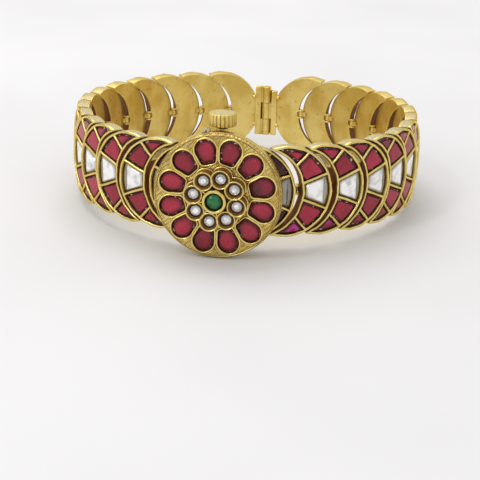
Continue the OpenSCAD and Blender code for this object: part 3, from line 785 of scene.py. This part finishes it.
def petal_sector():
    """One twelfth of the cover's face, round a petal's cell: loops go up the cell's wall, over its rim, and
    spread from there to the border of the sector. Where two rims meet at the border they are cut off there,
    each loop a hair before the next, so that no two points share a place."""
    half, hair = np.pi / petals, 0.0004
    arc, inner = np.linspace(-half, half, 37), np.linspace(half, -half, 13)
    leg = np.linspace(field_out, field_in, 21)
    sides = (field_out, arc), (leg, half), (field_in, inner), (leg[::-1], -half)
    polar = np.concatenate([np.stack(np.broadcast_arrays(*side), -1)[:-1] for side in sides])
    border = np.stack([
        polar[:, 0] * np.sin(polar[:, 1]), polar[:, 0] * np.cos(polar[:, 1]) - petal_ring_r], -1)
    angle = np.arctan2(border[:, 1], border[:, 0])
    offs = np.array(petal_rim[0])
    rows, heights = [petal_outline(angle)], [np.full_like(angle, 0.95)]
    for k, off in enumerate(offs):
        x, y = petal_outline(angle, off).T + np.array([[0], [petal_ring_r]])
        radius, aside = np.hypot(x, y), np.arctan2(x, y)
        limit = half - hair * (len(offs) + 3 - k)
        over = np.maximum(np.abs(aside) - limit, 0)
        aside = np.clip(aside, -limit, limit)
        rows.append(np.stack([radius * np.sin(aside), radius * np.cos(aside) - petal_ring_r], -1))
        heights.append(np.interp(off - over * radius, *petal_rim))
    gap = np.hypot(*(border - petal_outline(angle)).T)
    edge = np.where(np.abs(np.abs(polar[:, 1]) - half) < 1e-9, np.interp(gap, *petal_rim), cover_t)
    edge = np.where(polar[:, 0] > field_out - 1e-6, cover_t, edge)
    start, level = rows[-1], heights[-1]
    for share in (0.3, 0.65, 1.0):
        rows.append(start + (border - start) * share)
        heights.append(level + (edge - level) * share)
    rows, heights = np.stack(rows), np.stack(heights)
    # Painted shade with patina: darker down the cell's wall.
    patina_and_shade = np.interp(heights, (1.0, 2.1, 2.2, 2.3, 2.4), (1.0, 0.8, 0.18, 0.06, 0.0))
    chased = np.zeros_like(heights)
    chased[-3:] = np.where(heights[-3:] < 2.25, 1.0, 0.0)
    return marked(rows[..., 0], rows[..., 1], heights, patina_and_shade, chased)


sector = petal_sector()
grids = [(put(head_place @ petal_place(k), sector), "first") for k in range(1, petals + 1)]

# The bevelled edge. Its rows are (radius, height, patina and painted shade, chased), and two waves round it make
# the strokes.
turns = circle(36 * petals) + np.pi / 2 - np.pi / petals
edge_profile = np.array([
    [field_out, cover_t, 0.3, 0.6], [9.085, 2.13, 0.95, 0.0], [9.115, 2.13, 0.95, 0.0], [9.14, 2.2, 0.0, 0.0],
    [9.17, 2.215, -0.1, 0.0], [9.2, 2.19, 0.0, 0.0], [9.225, 2.08, 0.7, 0.3], [9.25, 2.0, 0.1, 1.0],
    [9.32, 1.86, 0.0, 1.0], [9.39, 1.72, 0.1, 1.0], [9.41, 1.62, 0.8, 0.3], [9.45, 1.6, 0.3, 0.0],
    [9.49, 1.55, -0.1, 0.0], [cover_r, 1.45, 0.0, 0.0], [cover_r, 0.45, 0.1, 0.3], [9.42, 0.2, 0.1, 0.3],
    [9.2, 0.03, 0.2, 0.5], [9.0, 0.0, 0.3, 0.8], [6.0, 0.0, 0.4, 0.8], [3.0, 0.0, 0.4, 0.8]])[:, :, None]
stroke_share = np.zeros((len(edge_profile), 1))
stroke_share[7:10, 0] = 0.8, 1.0, 0.8
strokes = 0.035 * (np.cos(190 * turns) + 0.6 * np.cos(143 * turns)) * stroke_share
rim_r = edge_profile[:, 0] + strokes * 0.5
edge_ring = rings(rim_r, turns, edge_profile[:, 1] + strokes, edge_profile[:, 2], edge_profile[:, 3])
grids.append((put(head_place, edge_ring), "last"))
inner_turns = circle(12 * petals) + np.pi / 2 - np.pi / petals
hub = rings(np.array([[field_in], [field_in - 0.3]]), inner_turns, cover_t, 0.6)
grids.append((put(head_place, hub), "last"))

# The flower's round parts. Their rows are (radius, height).
flower_cells, flower_ring_r, flower_phase = 8, 3.3, 13.3
cup = [(1.30, 2.12), (1.30, 4.0), (1.34, 4.25), (1.39, 4.45), (1.42, 4.56), (1.41, 4.62), (1.37, 4.65),
       (1.31, 4.65), (1.26, 4.62), (1.22, 4.54), (1.15, 4.40), (1.05, 4.24), (0.97, 4.14), (0.94, 3.9),
       (0.94, 3.3)]
# Painted shade with patina: darker inside the cups and the collar and at their feet.
cup_patina_and_shade = [0.75, 0.55, 0.35, 0.1, 0, 0, 0, 0, 0.05, 0.3, 0.6, 0.68, 0.75, 0.9, 1.0]
collar = [(1.77, 3.2), (1.77, 5.05), (1.75, 5.16), (1.68, 5.23), (1.58, 5.25), (1.46, 5.245), (1.38, 5.2),
          (1.33, 5.1), (1.32, 5.0), (1.32, 3.92)]
collar_patina_and_shade = [0.5, 0.1, 0, 0, 0, 0, 0, 0, 0.2, 1.0]
dais = [(3.7, 2.12), (3.7, 3.25), (3.62, 3.33), (3.4, 3.35), (1.0, 3.35)]
grids.append((put(head_place, lathe(dais, 96, [0.5, 0.35, 0.5, 0.6, 0.6])),))

# The scalloped foot: the outer arcs of circles round the cups' middles. Its rows are (step outwards, height,
# patina and painted shade).
foot_cup_r, half_cell = 1.55, np.pi / flower_cells
foot_turns = circle(24 * flower_cells)
aside = flower_ring_r * np.sin((foot_turns + half_cell) % (2 * half_cell) - half_cell)
foot_profile = np.array([
    [0, 2.12, 0.85], [0, 2.62, 0.4], [-0.03, 2.7, 0.05], [-0.09, 2.73, 0.0], [-0.2, 2.73, 0.4],
    [-0.5, 2.73, 0.9]])[:, :, None]
foot_r = np.sqrt(flower_ring_r ** 2 - aside ** 2) + np.sqrt(foot_cup_r ** 2 - aside ** 2) + foot_profile[:, 0]
foot = rings(foot_r, foot_turns, foot_profile[:, 1], foot_profile[:, 2])
grids.append((put(head_place @ turn("Z", 90 - flower_phase), foot),))
grids.append((put(head_place, lathe(collar, 72, collar_patina_and_shade)),))


def flower_place(k):
    """From a cup's axes to the head's axes."""
    return turn("Z", -flower_phase - k * 360 / flower_cells) @ move(0, flower_ring_r, 0)


for k in range(flower_cells):
    grids.append((put(head_place @ flower_place(k), lathe(cup, 56, cup_patina_and_shade)),))
web_half, web_from, web_to, web_low, web_high = 0.12, 1.6, 2.5, 3.3, 4.5
for k in (3.5, 4.5, 5.5, 6.5):
    web = block((-web_half, web_from - flower_ring_r, web_low), (web_half, web_to - flower_ring_r, web_high), 0.08)
    grids.append((put(head_place @ flower_place(k), web),))
lip_angle, lip_pitch, bead_r, bead_low, bead_high = 12.6, np.degrees(0.3 / cover_r), 0.27, 0.36, 1.6
for k, rise in ((-1.5, 0.0), (-0.5, 0.24), (0.5, 0.4), (1.5, 0.18)):
    bead_place = turn("Z", lip_angle - k * lip_pitch) @ move(0, cover_r + rise, 0)
    grids.append((put(head_place @ bead_place, barrel(bead_r, bead_low, bead_high, 0.2, 24, -1.0)),))


def head_finish():
    """The links' gold again. Where the second mark is set it is chased: two sets of bent grooves cross each other,
    brown at the bottom, between patches of stain."""
    stain_brown, hollow_brown = (0.40, 0.25, 0.07), (0.28, 0.14, 0.04)
    gold, look = gold_finish("head_gold", "chased")
    chased = gold.mark("chased")
    wave = {"wave_type": "BANDS", "bands_direction": "X"}
    warp = {"Distortion": 3.5, "Detail": 2.0, "Detail Scale": 1.2}
    ridges = []
    for lean, pitch in ((0.6, 0.27), (-0.9, 0.55)):
        leant = gold.node("ShaderNodeMapping", {}, {"Vector": gold.place, "Rotation": (0.0, lean, 0.0)})
        band = gold.node("ShaderNodeTexWave", wave, {"Vector": leant, "Scale": 314.0 / pitch, **warp}, 1)
        ridges.append(gold.between(0.0, 0.2, band))
    relief = ridges[0] * ridges[1]
    look["Normal"] = gold.bump(relief * chased, 0.08, 1.0, look["Normal"])
    stain = gold.between(0.5, 0.66, gold.noise(1.9, 5.0)) * chased
    look["Base_Color"] = gold.blend(stain * 0.5, look["Base_Color"], stain_brown)
    hollow = (1.0 - relief) * chased
    look["Base_Color"] = gold.blend(hollow * 0.8, look["Base_Color"], hollow_brown)
    return gold.drive(**look)


mesh_piece(
    "head_cover_metal", grids, head_finish(), ("patina_and_shade", "chased"), "bracelet", ["head_cover"], 30,
    merged=True)


# The stones of the head: twelve red petals ground flat on top, eight white stones cut with facets and set deep in
# the cups, and a green one in the collar. The petals differ in tone, and on each a painted light makes it lighter
# towards one side.
petal_angles = circle(48)
petal_levels = [
    (0.0, 0.98, 1), (0.0, 1.96, 1), (0.3, 2.02, 0.9), (0.6, 2.05, 0.75), (0.8, 2.12, 0.6), (1.2, 2.22, 0.42),
    (1.4, 2.235, 0.36), (2.1, 2.28, 0.22), (2.9, 2.30, 0.03)]
petal_shades = (-0.1, 0.3, -0.45, 0.6, 0.75, 0.8, -0.4, 0.7, 0.75, 0.8, -0.15, 0.45)
oval = np.stack([1.27 * np.cos(petal_angles), 1.62 * np.sin(petal_angles) - 0.3], -1)


def faceted(outline, stride):
    """An outline ground straight: every so many points one stays, and the others go onto the lines between."""
    points, kept = np.arange(len(outline)), np.arange(0, len(outline) + 1, stride)
    return np.stack([np.interp(points, kept, np.r_[outline[::stride, i], outline[0, i]]) for i in (0, 1)], -1)


def petal_stone(lean, tone, phase):
    """A petal as outlines stacked up, as the stones of the links are. The resin has the cell's outline, and the
    ground stone is halfway between that, drawn in by a wavy inset, and an oval that shrinks as it goes up."""
    inset = 0.24 + 0.13 * np.cos(petal_angles - phase[0]) + 0.04 * np.cos(3 * petal_angles - phase[1])
    # Painted light: the shade mark rises across the stone towards one side.
    painted_light_side = 0.25 * np.array([np.cos(phase[1]), np.sin(phase[1])])
    rows = []
    for share, height, border in petal_levels:
        outline = petal_outline(petal_angles, -stone_room - inset * share)
        ground = faceted(outline + (oval * (1 - 0.25 * max(share - 1, 0)) - outline) * 0.5, 3)
        outline = outline + (ground - outline) * np.clip(share / 0.7, 0, 1)
        rise = outline @ lean * np.clip((height - 2.0) / 0.2, 0, 1)
        rows.append(marked(outline[:, 0], outline[:, 1], height + rise, border, tone + outline @ painted_light_side))
    return np.stack(rows)


for k in range(1, petals + 1):
    lean, tone, phase = chance.normal(0, 0.012, 2), chance.uniform(-0.1, 0.1), chance.uniform(0, 2 * np.pi, 2)
    petal = put(head_place @ petal_place(k), petal_stone(lean, petal_shades[k - 1] + tone, phase))
    stone_piece(f"petal_ruby_{k:02d}", [petal], ruby, 16)


def round_cut(r, foot, girdle, crown, table, folds):
    """A round stone with a flat table: between girdle and table a ring of points that lie in and out by turns
    makes kite and star facets. Rows are (radius at even points, radius at odd points, height, border mark, shade
    at even points, shade at odd points). The shade mark places a painted reflection: a grey ring of facets round
    a bright middle."""
    odd = np.arange(2 * folds) % 2
    rows = np.array([
        [0.7, 0.7, foot, 1, 0.5, 0.5], [1.0, 1.0, girdle - 0.15, 1, 0.5, 0.5], [1.0, 1.0, girdle, 0.9, 0.3, 0.8],
        [0.80, 0.86, crown, 0.45, 0.0, 0.9], [0.56, 0.53, table, 0, 1.0, 1.0], [0.24, 0.24, table, 0, 0.0, 0.0]])
    rows = rows[:, :, None]
    radius, shade = r * np.where(odd, rows[:, 1], rows[:, 0]), np.where(odd, rows[:, 5], rows[:, 4])
    return rings(radius, circle(2 * folds), rows[:, 2], rows[:, 3], shade)


def white_finish():
    """Cut diamond: white with grey clouds and with grey facets of painted reflection, which show more in some
    stones than in others, and a painted shade that darkens its edge where it goes down into its cup."""
    clear, cloudy, painted_facet_grey, painted_cup_shade = (0.98,) * 3, (0.55, 0.55, 0.57), (0.20, 0.19, 0.17), (0.17, 0.15, 0.12)
    white = Finish("white_cut", Roughness=0.06, IOR=2.2, Coat_Weight=0.8, Coat_Roughness=0.03)
    cloud, shows = white.noise(0.7, 2.0), white.between(0.4, 0.6, white.noise(2.4)) * 0.5 + 0.45
    colour = white.blend(white.between(0.35, 0.7, cloud), clear, cloudy)
    # Painted reflection: grey facets in a ring round a bright middle.
    colour = white.blend(white.between(0.4, 0.9, white.mark("shade")) * shows, colour, painted_facet_grey)
    # Painted shade where the stone goes down into its cup.
    colour = white.blend(white.between(0.05, 0.7, white.mark("border")), colour, painted_cup_shade)
    return white.drive(Base_Color=colour, Metallic=0.4 - cloud * 0.2)


def green_finish():
    """Deep green beryl, clouded darker, and darker at the edge with painted shade."""
    leaf_green, cloud_green, shaded_edge_green = (0.011, 0.16, 0.042), (0.003, 0.05, 0.014), (0.002, 0.022, 0.008)
    green = Finish("green_cut", Roughness=0.08, Specular_IOR_Level=0.35, Coat_Weight=0.3, Coat_Roughness=0.03)
    cloud = green.noise(0.9, 3.0)
    colour = green.blend(green.between(0.35, 0.7, cloud), leaf_green, cloud_green)
    colour = green.blend(green.between(0.25, 0.9, green.mark("border")), colour, shaded_edge_green)
    return green.drive(Base_Color=colour, Normal=green.bump(cloud, 0.02, 0.3))


white_cut = round_cut(r=0.9, foot=3.4, girdle=3.96, crown=4.1, table=4.18, folds=8)
green_cut = round_cut(r=1.22, foot=4.0, girdle=4.75, crown=4.97, table=5.12, folds=8)
stones = [put(head_place @ flower_place(k) @ turn("Z", 17 * k), white_cut) for k in range(flower_cells)]
stone_piece("flower_whites", stones, white_finish(), 2)
stone_piece("green_stone", [put(head_place, green_cut)], green_finish(), 2)


# The winding crown: a turned gold button, fluted round its edge and flat on top, that pulls up and turns on a
# plain stem in the winding tube. The profile's rows are (radius, height, share of the flutes' depth, patina and
# painted shade). The flutes' grooves get painted shade, and the flat top is filed and pale.
crown_foot, flutes, flute_depth = 9.8, 20, 0.13
stem_r, stem_low, stem_high = 0.45, 5.6, 11.2
crown_profile = np.array([
    [0.6, 0.0, 0, 0.8], [1.75, 0.0, 0.2, 0.6], [1.97, 0.07, 0.8, 0.3], [2.05, 0.2, 1, 0.1], [2.05, 0.9, 1, 0.05],
    [2.05, 1.68, 1, 0], [2.0, 1.82, 0.8, 0], [1.92, 1.91, 0.3, 0], [1.85, 1.945, 0, -0.3], [1.75, 1.95, 0, -0.5],
    [0.9, 1.95, 0, -0.42], [0.3, 1.95, 0, -0.42]])[:, :, None]
turns = circle(flutes * 10)
groove = (0.5 + 0.5 * np.cos(flutes * turns)) ** 6
fluted_r = crown_profile[:, 0] - flute_depth * crown_profile[:, 2] * groove
crown_patina_and_shade = crown_profile[:, 3] + (0.1 + 0.3 * groove) * crown_profile[:, 2]
crown_grid = rings(fluted_r, turns, crown_profile[:, 1], crown_patina_and_shade, 1.0)
gold_piece("crown", [put(move(0, -crown_back, crown_foot), crown_grid)], "crown", 40)
stem = barrel(stem_r, stem_low, stem_high, 0.1, 24)
gold_piece("crown_stem", [put(move(0, -crown_back, 0), stem)], "stem")


# The stage: a plain pale floor that the bracelet lies on, matt and very slightly mottled, like paper. It isn't
# part of the bracelet.
floor_mesh, reach = bpy.data.meshes.new("floor"), 4.0
floor_corners = [(-reach, -reach, 0), (reach, -reach, 0), (reach, reach, 0), (-reach, reach, 0)]
floor_mesh.from_pydata(floor_corners, [], [(0, 1, 2, 3)])
floor = bpy.data.objects.new("floor", floor_mesh)
bpy.context.scene.collection.objects.link(floor)
pale, less_pale = (0.73, 0.725, 0.73), (0.69, 0.685, 0.69)
paper = Finish("pale_floor", Roughness=0.75)
mottled = paper.blend(paper.between(0.3, 0.7, paper.noise(60.0, 2.0)), pale, less_pale)
floor_mesh.materials.append(paper.drive(Base_Color=mottled))


# The light: a wide soft box overhead and behind, a smaller one in front on the left, a small lamp for the glints
# on the rims, and a pale room that is brighter above.
def soft_box(name, place, aim, size, power, colour):
    """A square area light at place, in metres, that faces aim."""
    data = bpy.data.lights.new(name, "AREA")
    data.size, data.energy, data.color = size, power, colour
    lamp = bpy.data.objects.new(name, data)
    lamp.location = place
    lamp.rotation_euler = (Vector(aim) - Vector(place)).to_track_quat("-Z", "Y").to_euler()
    bpy.context.scene.collection.objects.link(lamp)


soft_box("over", place=(-0.10, 0.18, 0.42), aim=(0, 0, 0), size=0.36, power=0.9, colour=(1.0, 0.99, 0.98))
soft_box("front", place=(-0.30, -0.42, 0.30), aim=(0, 0, 0.01), size=0.22, power=0.6, colour=(1.0, 1.0, 1.0))
soft_box("spark", place=(-0.16, -0.20, 0.34), aim=(0, 0, 0.01), size=0.03, power=0.12, colour=(1.0, 1.0, 1.0))
room = bpy.data.worlds.new("room")
room.use_nodes = True
nodes, links = room.node_tree.nodes, room.node_tree.links
towards, split = nodes.new("ShaderNodeTexCoord"), nodes.new("ShaderNodeSeparateXYZ")
height = nodes.new("ShaderNodeMapRange")
height.inputs["From Min"].default_value, height.inputs["From Max"].default_value = -0.1, 0.9
height.inputs["To Min"].default_value, height.inputs["To Max"].default_value = 0.62, 0.9
links.new(towards.outputs["Generated"], split.inputs["Vector"])
links.new(split.outputs["Z"], height.inputs["Value"])
links.new(height.outputs["Result"], nodes["Background"].inputs["Strength"])
nodes["Background"].inputs["Color"].default_value = (1.0, 0.995, 0.99, 1)
bpy.context.scene.world = room
bpy.context.scene.view_settings.view_transform = "Standard"


# The camera: a 100 mm lens at the photo's place, found by fitting the outlines of the links and the head. Angles
# are in radians, and lengths in millimetres from the ring's middle.
turn_z, look_down, roll = -0.1323, 0.3212, 0.0320
distance, aside, below = 223.1404, -0.5340, -15.8677
ca, sa, ce, se = np.cos(turn_z), np.sin(turn_z), np.cos(look_down), np.sin(look_down)
level, upright = np.array([ca, -sa, 0]), np.array([sa * se, ca * se, ce])
forward = np.array([sa * ce, ca * ce, -se])
right = level * np.cos(roll) + upright * np.sin(roll)
up = upright * np.cos(roll) - level * np.sin(roll)
stand = np.eye(4)
stand[:3, 0], stand[:3, 1], stand[:3, 2] = right, up, -forward
stand[:3, 3] = aside * level + below * upright - distance * forward
stand = at_rest @ stand
stand[:3, 3] /= 1000
lens = bpy.data.cameras.new("camera")
lens.lens, lens.sensor_width, lens.clip_start = 100.0, 36.0, 0.01
camera = bpy.data.objects.new("camera", lens)
bpy.context.scene.collection.objects.link(camera)
camera.matrix_world = Matrix(stand.tolist())
bpy.context.scene.camera = camera
